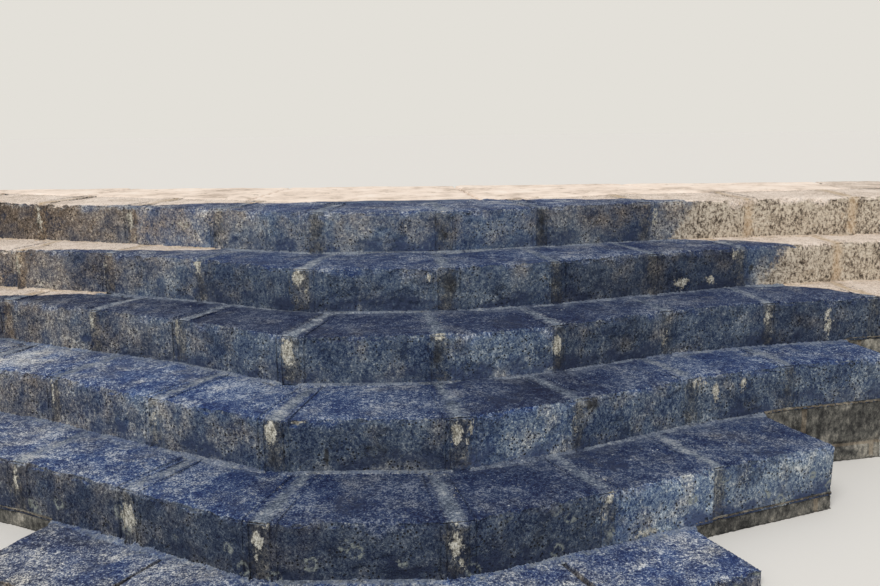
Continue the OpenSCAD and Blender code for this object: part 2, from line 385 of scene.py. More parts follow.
# Dark smears and holes, in the same terms
DARK = {
    1: [(-0.72, 0.30, 20, 60, 0.5), (-0.27, 0.40, 22, 70, 0.5), (0.26, 0.40, 24, 50, 0.8),
        (0.67, 0.50, 24, 80, 0.8)],
    2: [(0.28, 0.50, 34, 56, 0.9), (0.69, 0.40, 28, 50, 0.6), (1.52, 0.43, 24, 50, 0.6),
        (1.55, 0.42, 12, 15, 1.3)],
    3: [(0.23, 0.50, 28, 56, 0.8), (0.92, 0.35, 70, 40, 0.6)],
    4: [(-0.11, 0.24, 8, 34, 1.3), (0.05, 0.35, 120, 50, 0.6), (0.73, 0.86, 34, 34, 1.2),
        (-0.28, 0.20, 20, 30, 0.7)],
    5: [(-0.65, 0.38, 7, 14, 1.3), (0.50, 0.40, 120, 60, 0.5), (-0.30, 0.20, 24, 40, 0.6)],
}


def blots(places, height, patches):
    """The strongest of several soft patches at each place."""
    value = np.zeros(len(places))
    for x, middle, wide, tall, strength in patches:
        across = (places[:, 0] - x) / (wide * MM)
        up = (height - middle) * RISE / (tall * MM)
        value = np.maximum(value, strength * np.exp(-across ** 2 - up ** 2))
    return value


# Painted sunlight, where the stone is pale instead of dark: treads behind these lines, given by their corners
# in metres, and risers from x to x, the edge of the painted shadow leaning to the right as it rises. FAR is
# behind the whole flight, so no tread is sunlit there
FAR = 9.0
SUNLIT_BEHIND = {
    1: ((-2.1, 0.90), (-1.6, 0.77), (-1.1, 0.66), (-0.76, 0.68), (0.25, 0.73), (1.05, 0.73), (1.3, 0.64),
        (1.45, 0.5)),
    2: ((-1.8, 0.50), (-1.57, 0.50), (-1.1, 0.43), (-0.8, 0.42), (-0.6, 0.48), (-0.5, FAR), (1.1, FAR),
        (1.2, 0.62), (1.6, 0.54), (1.8, 0.40)),
    3: ((-2.0, 0.30), (-1.7, 0.33), (-1.35, 0.37), (-1.15, 0.36), (-1.05, FAR), (1.6, FAR), (1.7, 0.40),
        (1.85, 0.32), (2.0, 0.15)),
}
SUNLIT_RISER_RIGHT = {1: (1.18, 1.46), 2: (1.50, 1.80)}
SUNLIT_SLANT = 0.8
# The edge of the painted sunlight on a tread is this soft on either side
SUNLIT_EDGE = 25 * MM


def sunlit_behind(places, course):
    """1 behind the line where a course's tread turns pale with painted sunlight, and 0 in front of it."""
    xs, ys = zip(*SUNLIT_BEHIND[course])
    return ease(places[:, 1] - np.interp(places[:, 0], xs, ys), -SUNLIT_EDGE, SUNLIT_EDGE)


def sunlit_share(places, upward, course):
    """How pale the stone is painted with sunlight at each place, from 0 to 1."""
    x, height = places[:, 0], places[:, 2] - (TOPS[course] - RISE)
    sunlit = np.zeros(len(places))
    if course in SUNLIT_BEHIND:
        sunlit = upward * sunlit_behind(places, course)
    if course in SUNLIT_RISER_RIGHT:
        slant = (height - RISE / 2) * SUNLIT_SLANT
        sunlit = np.maximum(sunlit, ease(x - slant, *SUNLIT_RISER_RIGHT[course]) * (1 - upward))
    return sunlit


# Where feet keep the lower treads free of dust: half the width of the path, the levels from which it starts
# and below which it is full, and the share of the dust that it takes
TRODDEN_WIDTH = 0.32
TRODDEN_LEVELS = (0.55, 0.40)
TRODDEN = 0.6


def dustiness(places):
    """How much dust and mortar stays at the foot of a riser: less in the middle of the lower treads."""
    path = np.exp(-(places[:, 0] / TRODDEN_WIDTH) ** 2)
    return 1 - TRODDEN * path * ease(places[:, 2], *TRODDEN_LEVELS)


# How brown the stone grows: at the top of the flight, per metre to the left of LEFT_FROM, to the upper
# right, and all over the footing
BROWN_TOP, BROWN_LEFT, BROWN_RIGHT, BROWN_FOOTING = 0.22, 0.70, 0.22, 0.40
LEFT_FROM = -0.45


def brownness(places, course):
    """How brown instead of blue the stone is at each place, from 0 to about 1."""
    x, z = places[:, 0], places[:, 2]
    leftward = np.clip(LEFT_FROM - x, 0, None) * (0.7 + 0.3 * ease(z, 0.5, 0.8))
    high_right = ease(x, 0.6, 1.3) * ease(z, 0.55, 0.75)
    brown = BROWN_TOP * ease(z, 0.70, 0.88) + BROWN_LEFT * leftward + BROWN_RIGHT * high_right
    return brown + BROWN_FOOTING if course == FOOTING else brown


# How much of a patch on a riser shows where its stone turns upward
PATCH_ON_TOP = 0.3


def mark(piece, course, tones, fresh):
    """Notes for the materials. tones and fresh are what the piece has at its left and right edges."""
    places, facing = points(piece), normals(piece)
    upward = ease(facing[:, 2], 0.45, 0.8)
    height = 1 - (TOPS[course] - places[:, 2]) / RISE
    start, end = places[:, 0].min(), places[:, 0].max()
    tone = np.interp(places[:, 0], (start, end), tones)
    tread_tone = np.interp(places[:, 0], TREAD_SPAN, TREAD_TONES[course])
    note(piece, "tone", tone + (tread_tone - tone) * upward)
    note(piece, "fresh", np.interp(places[:, 0], (start, end), fresh))
    note(piece, "bond", bonding(places, course))
    note(piece, "foot", nearness(places, COURSE_ABOVE.get(course), DUST_REACH) * upward * dustiness(places))
    note(piece, "height", height)
    note(piece, "sunlit", sunlit_share(places, upward, course))
    note(piece, "warmth", brownness(places, course))
    shown = 1 - (1 - PATCH_ON_TOP) * upward
    note(piece, "pale", blots(places, height, PALE.get(course, [])) * shown)
    note(piece, "dark", blots(places, height, DARK.get(course, [])) * shown)


def front_plane(part):
    """Normal and offset of the riser face of one stone, the largest upright one that looks forward."""
    best, area = None, 0.0
    for face in part.data.polygons:
        if abs(face.normal.z) < 0.1 and face.normal.y < -0.8 and face.area > area:
            best, area = face, face.area
    return best.normal.copy(), best.normal.dot(best.center)


# Step stones

# Stones laid by hand sit up to this low and this far back
SLACK = 6 * MM
# A stone's front moves back whole up to the second distance behind its riser, and less and less up to the
# first
BACK_REACH = (150 * MM, 20 * MM)
# How far the foot of a stone or a joint is bedded into the course below
BEDDING = 12 * MM
# For each stone, in shares of SLACK: how low it sits at its left and right end, and how far back at each
LAID = {course: chance.uniform(0, 1, (len(TONES[course]), 4)) for course in TONES}
# How far a worn nose reaches from its edge, how far apart the fields of pits lie, and how far the edges of
# the footing are rounded
NOSE_REACH = 34 * MM
PIT_FIELDS = 110 * MM
FOOTING_EDGE = 12 * MM


def settle(piece, out, behind, top, ends):
    """Lowers a piece's top and moves its front back, more or less towards either end."""
    x = points(piece)[:, 0]
    span = (x.min(), x.max())
    weigh(piece, "low", top * np.interp(x, span, ends[:2]))
    push(piece, -SLACK, "low", "Z")
    shift(piece, -SLACK, out, "back", ease(behind, *BACK_REACH) * np.interp(x, span, ends[2:]))


def shape_stone(part, course, count, fresh):
    """Roughens one stone: hewn and pitted in front, worn and gently hollow on top, chipped along its nose."""
    tone = TONES[course][count]
    facing_out, offset = front_plane(part)
    out = np.array(facing_out)
    modify(part, "REMESH", mode="VOXEL", voxel_size=GRAIN[course])
    places, facing = points(part), normals(part)
    behind = offset - places @ out
    drop = TOPS[course] - places[:, 2]
    front = ease(facing @ out, 0.5, 0.85)
    top = ease(facing[:, 2], 0.4, 0.8)
    under = ease(-facing[:, 2], 0.4, 0.8)
    back = ease(-(facing @ out), 0.4, 0.8)
    side = np.clip(1 - front - top - under - back, 0, 1)
    nose = np.exp(-(behind ** 2 + drop ** 2) / NOSE_REACH ** 2)
    cluster = ease(clouds(places, PIT_FIELDS, course * 7.0), 0.42, 0.66)
    weigh(part, "open", np.clip(front + top + 0.5 * side, 0, 1))
    weigh(part, "hewn", np.clip(front + 0.30 * top + 0.5 * side, 0, 1))
    weigh(part, "pitted", np.clip(front + 0.25 * top, 0, 1) * cluster)
    weigh(part, "nose_edge", nose * np.clip(front + top, 0, 1))
    if course != FOOTING:
        weigh(part, "under", under)
        push(part, -BEDDING, "under", "Z")
    settle(part, out, behind, (1 - under) * ease(-drop, -RISE / 2, -20 * MM), LAID[course][count])
    press_in(part, CHIPS, CHIPS_DEPTH, "nose_edge")
    press_in(part, HEAVE, HEAVE_DEPTH, "open")
    press_in(part, HEWN, HEWN_DEPTH, "hewn")
    press_in(part, LUMPS, LUMPS_DEPTH, "hewn")
    press_in(part, PITS, PITS_DEPTH, "pitted")
    thin_out(part, STONE_TRIANGLES[course])
    mark(part, course, (tone, tone), fresh)


def step_stones(course, material):
    """Every stone of one course, a piece for each CAD node."""
    freshness = [FRESH[course][0], *FRESH[course], FRESH[course][-1]]
    count = 0
    for key in STONE_KEYS:
        node = f"step_{course}_{key}"
        parts = loose_parts(copy_of(node, f"stone_{course}_{key}"))
        for part in parts:
            shape_stone(part, course, count, freshness[count:count + 2])
            count += 1
        finish_piece(joined(parts, f"stone_{course}_{key}"), material, node)


def footing_stones(material):
    """Low dry-laid stones, their edges rounded by wear."""
    parts = loose_parts(copy_of("footing_course", "footing"))
    for count, part in enumerate(parts):
        modify(part, "BEVEL", width=FOOTING_EDGE, segments=3, limit_method="ANGLE")
        shape_stone(part, FOOTING, count, (0.5, 0.5))
    finish_piece(joined(parts, "footing_stones"), material, "footing_course")


# Mortar

# How far the mortar of a joint runs into the stones on either side
WEDGE_LAP = 24 * MM
# The joints start behind the stones' worn corners, and are struck flush by this much mortar
WEDGE_FLUSH = 8 * MM
# How much lower and further back than its stones a joint lies, in shares of SLACK
WEDGE_SUNK = 0.15
# The patterns of a joint's face, how deep they go, and their share on its top
WEDGE_RELIEF = ((HEAVE, HEAVE_DEPTH, 1.0), (HEWN, HEWN_DEPTH, 0.3), (LUMPS, LUMPS_DEPTH, 0.3))


def shape_wedge(part, course, left, fresh):
    """Roughens the mortar between stone number left and the next one. It lies flush with them and laps over
    them a little, so that no edge of its own shows."""
    facing_out, offset = front_plane(part)
    out = np.array(facing_out)
    across = np.array(facing_out.cross(Vector((0, 0, 1))))
    shift(part, WEDGE_LAP, across, "right", normals(part) @ across > 0)
    shift(part, WEDGE_LAP, -across, "left", normals(part) @ across < 0)
    shift(part, WEDGE_FLUSH, out, "face", normals(part) @ out > 0.3)
    modify(part, "REMESH", mode="VOXEL", voxel_size=GRAIN[course])
    facing = normals(part)
    front = ease(facing @ out, 0.3, 0.7)
    top = ease(facing[:, 2], 0.3, 0.7)
    behind = offset + WEDGE_FLUSH - points(part) @ out
    weigh(part, "front", front)
    weigh(part, "top", top)
    weigh(part, "under", ease(-facing[:, 2], 0.4, 0.8))
    before, after = LAID[course][left:left + 2]
    settle(part, out, behind, top, WEDGE_SUNK + np.array([before[1], after[0], before[3], after[2]]))
    push(part, -BEDDING, "under", "Z")
    for texture, depth, on_top in WEDGE_RELIEF:
        press_in(part, texture, -depth, "front", "Y")
        press_in(part, texture, depth * on_top, "top", "Z")
    thin_out(part, WEDGE_TRIANGLES)
    mark(part, course, TONES[course][left:left + 2], (fresh, fresh))


def step_mortar(course, material):
    """The joints of one course, from left to right."""
    node = f"step_{course}_mortar"
    parts = loose_parts(copy_of(node, f"mortar_{course}"))
    for left, (part, fresh) in enumerate(zip(parts, FRESH[course])):
        shape_wedge(part, course, left, fresh)
    finish_piece(joined(parts, f"mortar_{course}"), material, node)


# The line of mortar slopes off over this width. It lies a little lower than the CAD's, its front edge lower
# still by the slope, and its back runs on under the riser
FILLET_WIDTH = 16 * MM
FILLET_SUNK = 7 * MM
FILLET_SLOPE = 13 * MM
FILLET_TUCKED = 22 * MM


def fillets(material):
    """Thin mortar lines at the feet of the risers, sloping off to nothing, uneven and broken."""
    parts = loose_parts(copy_of("riser_fillets", "fillets"))
    parts.sort(key=lambda part: -max(v.co.z for v in part.data.vertices))
    for course, part in zip(COURSES, parts):
        lower = course + 1
        modify(part, "REMESH", mode="VOXEL", voxel_size=FILLET_GRAIN)
        places, facing = points(part), normals(part)
        close = nearness(places, COURSE_ABOVE[lower], FILLET_WIDTH)
        weigh(part, "sloping", 1 - close)
        weigh(part, "close", ease(close, 0.5, 0.9))
        weigh(part, "whole", np.ones(len(places)))
        weigh(part, "open", np.clip(facing[:, 2] - 0.9 * facing[:, 1], 0, 1))
        push(part, -FILLET_SUNK, "whole", "Z")
        push(part, -FILLET_SLOPE, "sloping", "Z")
        push(part, FILLET_TUCKED, "close", "Y")
        press_in(part, CHIPS, 5 * MM, "open")
        press_in(part, SAND, 2 * MM, "open")
        thin_out(part, FILLET_TRIANGLES)
        places = points(part)
        note(part, "tone", np.interp(places[:, 0], TREAD_SPAN, TREAD_TONES[lower]))
        note(part, "fresh", 0.6)
        note(part, "foot", dustiness(places))
        note(part, "bond", 0.35 + 0.3 * clouds(places, 90 * MM, 3.0))
        note(part, "height", 1.0)
        note(part, "sunlit", sunlit_share(places, np.ones(len(places)), lower))
    finish_piece(joined(parts, "riser_fillets_line"), material, "riser_fillets")


# Landing, flank walls and back

def landing_slabs(material):
    """Sawn paving slabs, worn nearly flat, with joints between them."""
    parts = loose_parts(copy_of("landing", "landing"))
    for part in parts:
        modify(part, "BEVEL", width=5 * MM, segments=2, limit_method="ANGLE")
        modify(part, "REMESH", mode="VOXEL", voxel_size=SLAB_GRAIN)
        facing = normals(part)
        top = ease(facing[:, 2], 0.4, 0.8)
        back = ease(facing[:, 1], 0.4, 0.8)
        weigh(part, "open", np.clip(top + back, 0, 1))
        push(part, -chance.uniform(0, 3) * MM, "open")
        press_in(part, HEAVE, 5 * MM, "open")
        press_in(part, HEWN, 2 * MM, "open")
        thin_out(part, SLAB_TRIANGLES)
        note(part, "tone", chance.uniform(0.3, 0.7))
        # The front of the landing is marked for painted shadow, the rest for painted sunlight
        note(part, "sunlit", sunlit_behind(points(part), 1))
    finish_piece(joined(parts, "landing_slabs"), material, "landing")


# Length of a walling block, and width and depth of its joints
BLOCK = 470 * MM
SEAM = 17 * MM
SEAM_DEPTH = 9 * MM
# A wall is drawn in by this much first, so that its rough face stays inside the CAD's
WALL_INSET = 1 * MM
BED_LEVELS = [0.0] + [TOPS[course] for course in (FOOTING, *reversed(COURSES))]


def coursing(places, facing):
    """Seams between walling blocks, from 0 to 1, and a tone for each block. The blocks lie in the same
    courses as the steps, half a block over in every other one, each joint a little off its place."""
    along = np.where(np.abs(facing[:, 1]) > np.abs(facing[:, 0]), places[:, 0], places[:, 1] + 0.2)
    course = np.clip(np.searchsorted(BED_LEVELS, places[:, 2]) - 1, 0, len(BED_LEVELS) - 2)
    bed = np.min(np.abs(places[:, 2][:, None] - np.array(BED_LEVELS[1:-1])[None, :]), axis=1)
    number = along / BLOCK + 0.5 * (course % 2)
    nearest = np.round(number)
    wander = 0.16 * np.sin(nearest * 2.4 + course * 1.7)
    upright = np.abs(number - nearest - wander) * BLOCK
    near = np.minimum(bed, upright)
    block = np.floor(number - wander)
    tone = 0.5 + 0.35 * np.sin(block * 5.1 + course * 3.3)
    return 1 - ease(near, SEAM * 0.35, SEAM * 0.7), tone


def dress_wall(piece, sunlit):
    """Cuts a wall's outer faces into coursed blocks, with rough faces and sunk joints. Its last argument is 1
    where its top is painted sunlit, as pale as the landing, and 0 where it is not."""
    modify(piece, "REMESH", mode="VOXEL", voxel_size=WALL_GRAIN)
    push(piece, -WALL_INSET, "")
    places, facing = points(piece), normals(piece)
    upright = 1 - ease(np.abs(facing[:, 2]), 0.5, 0.8)
    inner = ease(-facing[:, 0] * np.sign(places[:, 0]), 0.5, 0.8) * upright
    seam, tone = coursing(places, facing)
    top = ease(facing[:, 2], 0.5, 0.8) * (places[:, 2] > TOPS[1] - 5 * MM)
    weigh(piece, "sunk", seam * upright)
    weigh(piece, "face", np.clip(upright * (1 - inner) + 0.4 * top, 0, 1))
    push(piece, -SEAM_DEPTH, "sunk")
    press_in(piece, HEAVE, 8 * MM, "face")
    press_in(piece, HEWN, 7 * MM, "face")
    thin_out(piece, WALL_TRIANGLES)
    places, facing = points(piece), normals(piece)
    seam, tone = coursing(places, facing)
    note(piece, "tone", tone)
    note(piece, "seam", seam * (1 - ease(np.abs(facing[:, 2]), 0.5, 0.8)))
    note(piece, "sunlit", sunlit * ease(places[:, 2], TOPS[1] - 40 * MM, TOPS[1] - 20 * MM))


def flank_walls(material):
    """The walls under the two ends of the flight."""
    for side in ("left", "right"):
        node = f"{side}_flank_wall"
        piece = copy_of(node, f"{node}_blocks")
        # Their tops are painted sunlit
        dress_wall(piece, 1.0)
        finish_piece(piece, material, node)


# How deep the blocks of the back run into the filling
BACKING_DEPTH = 80 * MM
# The filling of the landing's joints stands this high over the bed of the slabs
JOINT_FILL = 36 * MM
# The mortar behind the treads lies this much lower than the CAD's
BED_SUNK = 4 * MM


def hearting(face_material, bed_material):
    """The filling behind the stones: a coursed face at the back, and mortar that shows behind each tread."""
    face = copy_of("hearting", "backing_blocks")
    cut_away(face, (0, BACK - BACKING_DEPTH, 0), (0, -1, 0))
    dress_wall(face, 0.0)
    finish_piece(face, face_material, "hearting")
    bed = copy_of("hearting", "mortar_bed")
    cut_away(bed, (0, BACK - BACKING_DEPTH, 0), (0, 1, 0))
    places, facing = points(bed), normals(bed)
    under_slabs = places[:, 2] > places[:, 2].max() - 1 * MM
    weigh(bed, "top", ease(facing[:, 2], 0.2, 0.5))
    weigh(bed, "under_slabs", under_slabs)
    push(bed, -BED_SUNK, "top", "Z")
    push(bed, JOINT_FILL, "under_slabs", "Z")
    for name, value in {"tone": 0.4, "fresh": 0.5, "foot": 1.0, "height": 1.0, "bond": 0.6}.items():
        note(bed, name, value)
    # The mortar between the landing's slabs is painted sunlit, pale as the landing
    note(bed, "sunlit", under_slabs * 1.0)
    finish_piece(bed, bed_material, "hearting")


# Materials

def linear(code):
    """Linear colour of an sRGB hex value, with alpha."""
    shares = [int(code[i:i + 2], 16) / 255 for i in (1, 3, 5)]
    return [c / 12.92 if c <= 0.04045 else ((c + 0.055) / 1.055) ** 2.4 for c in shares] + [1.0]


def add(tree, kind, wires=None, ramp=None, **settings):
    """Adds a node with its settings. wires gives inputs as numbers, colours or other nodes' outputs."""
    node = tree.nodes.new("ShaderNode" + kind)
    for key, value in settings.items():
        setattr(node, key, value)
    for key, value in (wires or {}).items():
        if isinstance(value, bpy.types.NodeSocket):
            tree.links.new(value, node.inputs[key])
        else:
            node.inputs[key].default_value = value
    if ramp:
        stops = node.color_ramp.elements
        while len(stops) < len(ramp):
            stops.new(1.0)
        for stop, (place, code) in zip(stops, ramp):
            stop.position = place
            stop.color = linear(code)
    return node


def read(tree, name):
    """A note on the surface."""
    return add(tree, "Attribute", attribute_name=name).outputs["Fac"]


def step(tree, value, low, high):
    """0 below low, 1 above high and smooth between, or the other way round where low is the greater."""
    return add(tree, "MapRange", {"Value": value, "From Min": low, "From Max": high},
               interpolation_type="SMOOTHSTEP").outputs[0]


def pattern(tree, place, size, detail=5.0, roughness=0.8):
    """Cloudy values about 0.5, its largest features about size millimetres across."""
    return add(tree, "TexNoise", {"Vector": place, "Scale": 1000 / size, "Detail": detail,
                                  "Roughness": roughness}).outputs[0]


def patches(tree, place, size, low, high, roughness=0.6):
    """Mask of soft-edged patches about size millimetres across: 0 below low, 1 above high."""
    return step(tree, pattern(tree, place, size, 4.0, roughness), low, high)


def both(tree, *masks):
    """Product of several masks."""
    result = masks[0]
    for mask in masks[1:]:
        result = add(tree, "Math", {0: result, 1: mask}, operation="MULTIPLY").outputs[0]
    return result


def coat(tree, under, colour, *masks):
    """Lays a colour over what is under it, where all the masks are high."""
    return add(tree, "Mix", {0: both(tree, *masks), 6: under, 7: colour}, data_type="RGBA").outputs[2]


def total(tree, *shares):
    """Sum of (value, weight) pairs, each value taken about 0.5, again about 0.5."""
    result = 0.5 - 0.5 * sum(weight for value, weight in shares)
    for value, weight in shares:
        result = add(tree, "Math", {0: value, 1: weight, 2: result}, operation="MULTIPLY_ADD").outputs[0]
    return result


def shades(tree, value, *codes, low, high):
    """Colours spread evenly over a pattern's values from low to high."""
    gap = (high - low) / (len(codes) - 1)
    ramp = [(low + i * gap, code) for i, code in enumerate(codes)]
    return add(tree, "ValToRGB", {0: value}, ramp=ramp).outputs[0]


def ragged(tree, place, name, low, high, size, raggedness=1.0):
    """Mask of a note on the surface, its edge broken up by a pattern about size millimetres across."""
    broken = total(tree, (read(tree, name), 1.0), (pattern(tree, place, size), raggedness))
    return step(tree, broken, low, high)


def surface(name, roughness):
    """A new material, with its node tree and its shader. Stone and mortar are dull, so their specular level
    is low."""
    material = bpy.data.materials.new(name)
    material.use_nodes = True
    tree = material.node_tree
    shader = tree.nodes["Principled BSDF"]
    shader.inputs["Roughness"].default_value = roughness
    shader.inputs["Specular IOR Level"].default_value = 0.3
    return material, tree, shader


def roughen(tree, shader, depth, *shares):
    """Bump of a depth in metres from a sum of patterns."""
    bump = add(tree, "Bump", {"Strength": 1.0, "Distance": depth, "Height": total(tree, *shares)})
    tree.links.new(bump.outputs[0], shader.inputs["Normal"])


# Shades of the steps from dark to light. Risers under algae, their blue partly painted sky shade, and where
# it has browned
ALGAE_AND_SKY_SHADE = ("#121f3a", "#253552", "#3a4961", "#4e5b6c", "#606c79", "#77818a", "#a3a9ab")
BROWNED = ("#1e1b19", "#3b342c", "#554a3f", "#6d6053", "#847667", "#a29482", "#c8bda8")
# Treads, dark and worn, their navy painted blue sky shade and their light streaks partly scuffs and partly
# painted sheen, and where they have browned
TRODDEN_SKY_SHADE_AND_SHEEN = ("#0d1e46", "#192c5b", "#293f6d", "#3b5074", "#516480", "#717e94", "#abb2bd")
TRODDEN_DRAB = ("#1d1f27", "#30333d", "#454952", "#5b5e66", "#757679", "#9a9896", "#bfbbb2")
# Mortar on the risers, to the upper left, and on the treads
CRUST = ("#1f2226", "#313338", "#444546", "#595855", "#736f67", "#989284")
OCHRE = ("#2e2721", "#4d4134", "#6d5c48", "#8a765e", "#a8947b", "#c6b599")
DUSTY = ("#3a4556", "#545f72", "#6e7989", "#8a929e", "#a6abb1", "#c3c5c5")
# Bare mortar, and painted sunlight on the stone of risers, treads and joints
BARE = ("#66635c", "#979387", "#c8c4b6", "#e8e5da")
SUNLIT_BEIGE = ("#453d36", "#776b5e", "#a79988", "#cbbda9", "#e0d4c2")
SUNLIT_CREAM = ("#c4b2a1", "#e0cfbf", "#f3e2d3", "#fbecdf")
SUNLIT_SANDY = ("#9c8468", "#c9b296", "#e0cfb8")
# What a stone's colour is multiplied by: TONE_DARK at tone 0, and TONE_RANGE more at tone 1
TONE_RANGE = (1.17, 1.15, 1.08)
TONE_DARK = (0.56, 0.58, 0.66)
# The stones' grain grows calmer from the first of these levels up to the second. Lichen rings show below
# the first of the others, and in full below the second
CALM_LEVELS = (0.35, 0.85)
LICHEN_LEVELS = (0.24, 0.14)


def weathered(tree, place):
    """Colour of the steps, stone and mortar alike, and their grain. The seam between the two follows the
    note bond, with its edge broken up, so that mortar smears over the stones and dirt over the mortar."""
    upright = add(tree, "Mapping", {"Vector": place, "Scale": (1, 1, 0.7)}).outputs[0]
    upward = add(tree, "SeparateXYZ", {0: add(tree, "NewGeometry").outputs["Normal"]}).outputs[2]
    height, tone = read(tree, "height"), read(tree, "tone")
    broad = pattern(tree, place, 240, detail=2.0, roughness=0.5)
    mottle = pattern(tree, place, 70, detail=3.0, roughness=0.6)
    grain = pattern(tree, upright, 11, detail=3.0, roughness=0.85)
    speckle = pattern(tree, place, 6, detail=2.0, roughness=0.9)
    level = add(tree, "SeparateXYZ", {0: place}).outputs[2]
    calm = step(tree, level, *CALM_LEVELS)

    # The tread's dark colour, with its painted blue sky shade, runs over the nose and down the riser, further
    # in patches
    lifted = total(tree, (upward, 1.0), (pattern(tree, place, 30), 0.8))
    shade_film = total(tree, (height, 1.0), (pattern(tree, place, 120, 4.0, 0.6), 1.2), (grain, 0.5))
    tread = add(tree, "Math", {0: step(tree, lifted, 0.50, 0.90), 1: step(tree, shade_film, 0.84, 1.08)},
                operation="MAXIMUM").outputs[0]
    shade = add(tree, "Math", {0: 1.0, 1: tread}, operation="SUBTRACT").outputs[0]

    # Riser: hewn stone under algae, its blue partly painted sky shade, browner to the upper left, navy at its
    # foot
    rough = total(tree, (grain, 1.2), (speckle, 1.0), (mottle, 0.55), (broad, 0.5))
    rough = add(tree, "Mix", {0: both(tree, calm, 0.22), 2: rough, 3: 0.5}).outputs[0]
    browned = total(tree, (read(tree, "warmth"), 1.0), (mottle, 1.0),
                    (pattern(tree, place, 130, 2.0, 0.5), 1.2))
    warmth = add(tree, "Math", {0: browned, 1: 0.0}, operation="ADD", use_clamp=True).outputs[0]
    riser = coat(tree, shades(tree, rough, *ALGAE_AND_SKY_SHADE, low=0.22, high=0.78),
                 shades(tree, rough, *BROWNED, low=0.22, high=0.78), warmth)
    riser = coat(tree, riser, linear("#7d8890"), patches(tree, upright, 10, 0.54, 0.68, roughness=0.85),
                 patches(tree, place, 130, 0.46, 0.62), 0.8)
    riser = coat(tree, riser, linear("#1f2a3f"), patches(tree, place, 110, 0.52, 0.66),
                 patches(tree, place, 10, 0.36, 0.62, roughness=0.85))
    navy_foot = both(tree, step(tree, total(tree, (height, 1.0), (mottle, 1.0)), 0.36, 0.10),
                  step(tree, warmth, 0.35, 0.0))
    riser = coat(tree, riser, linear("#303a52"), navy_foot, patches(tree, place, 200, 0.38, 0.56),
                 patches(tree, place, 12, 0.30, 0.55))

    # Tread: trodden smooth, its navy painted blue sky shade, its light streaks partly scuffs and partly
    # painted sheen
    worn = total(tree, (pattern(tree, place, 12, detail=3.0, roughness=0.9), 1.5), (speckle, 1.0),
                 (pattern(tree, place, 28, detail=1.0), 0.5), (mottle, 0.75), (broad, 0.7))
    navy = shades(tree, worn, *TRODDEN_SKY_SHADE_AND_SHEEN, low=0.20, high=0.80)
    navy = coat(tree, navy, linear("#36425f"), patches(tree, place, 150, 0.54, 0.66),
                patches(tree, place, 20, 0.35, 0.62))
    trodden = coat(tree, navy, shades(tree, worn, *TRODDEN_DRAB, low=0.20, high=0.80), warmth)
    stone = coat(tree, riser, trodden, tread)
    gain = add(tree, "VectorMath", {0: tone, 1: TONE_RANGE, 2: TONE_DARK},
               operation="MULTIPLY_ADD").outputs[0]
    stone = add(tree, "VectorMath", {0: stone, 1: gain}, operation="MULTIPLY").outputs[0]

    # Mortar: dark crust on the risers, ochre to the upper left, dusty grey on the treads
    fresh = total(tree, (grain, 1.2), (speckle, 0.6), (mottle, 0.7), (read(tree, "fresh"), 0.20))
    crust, ochre, dusty = (shades(tree, fresh, *codes, low=0.26, high=0.74)
                           for codes in (CRUST, OCHRE, DUSTY))
    seam = coat(tree, crust, ochre, ragged(tree, place, "warmth", 0.25, 0.60, 60))
    seam = coat(tree, seam, dusty, tread)
    soiled_and_shadowed = patches(tree, place, 60, 0.58, 0.44)
    joint = both(tree, ragged(tree, place, "bond", 0.28, 0.68, 24, 1.3), step(tree, soiled_and_shadowed, -0.45, 0.40))
    colour = coat(tree, stone, seam, joint, step(tree, tread, -0.45, 0.3))
    crack = total(tree, (read(tree, "bond"), 1.0), (pattern(tree, place, 22), 0.35))
    crack = both(tree, step(tree, crack, 0.40, 0.47), step(tree, crack, 0.56, 0.49))
    colour = coat(tree, colour, linear("#1d2027"), crack, patches(tree, place, 55, 0.54, 0.66), shade, 0.6)

    # Chips along the nose, dust at the back of the tread
    nose = step(tree, height, 0.82, 0.96)
    colour = coat(tree, colour, linear("#b0b4b4"), nose, patches(tree, place, 10, 0.58, 0.66),
                  step(tree, upward, 0.97, 0.6))
    dust = step(tree, total(tree, (read(tree, "foot"), 1.0), (mottle, 1.0)), 0.42, 1.30)
    colour = coat(tree, colour, linear("#6c778b"), dust, patches(tree, place, 20, 0.36, 0.64, roughness=0.85))
    line = both(tree, step(tree, total(tree, (read(tree, "foot"), 1.0), (speckle, 0.5)), 0.86, 1.04),
                patches(tree, place, 90, 0.36, 0.60), patches(tree, place, 12, 0.26, 0.56),
                add(tree, "Math", {0: calm, 1: 0.7, 2: 0.2}, operation="MULTIPLY_ADD").outputs[0])
    colour = coat(tree, colour, linear("#9ba2a9"), line, tread)

    # Holes, lichen rings low on the flight and white specks on the treads
    pits = add(tree, "TexVoronoi", {"Vector": place, "Scale": 1000 / 12})
    hole = both(tree, step(tree, pits.outputs[0], 0.34, 0.15), patches(tree, place, 70, 0.42, 0.58))
    colour = coat(tree, colour, linear("#12151c"), hole, shade)
    cells = add(tree, "TexVoronoi", {"Vector": place, "Scale": 1000 / 85})
    spread = total(tree, (cells.outputs[0], 1.0), (grain, 0.25))
    ring = both(tree, step(tree, spread, 0.13, 0.20), step(tree, spread, 0.30, 0.22))
    colour = coat(tree, colour, linear("#8d938f"), ring, step(tree, level, *LICHEN_LEVELS),
                  patches(tree, place, 14, 0.42, 0.56), shade)
    specks = add(tree, "TexVoronoi", {"Vector": place, "Scale": 1000 / 24})
    speck = step(tree, specks.outputs[0], 0.20, 0.10)
    colour = coat(tree, colour, linear("#c3c8cc"), speck, patches(tree, place, 40, 0.57, 0.65), tread)

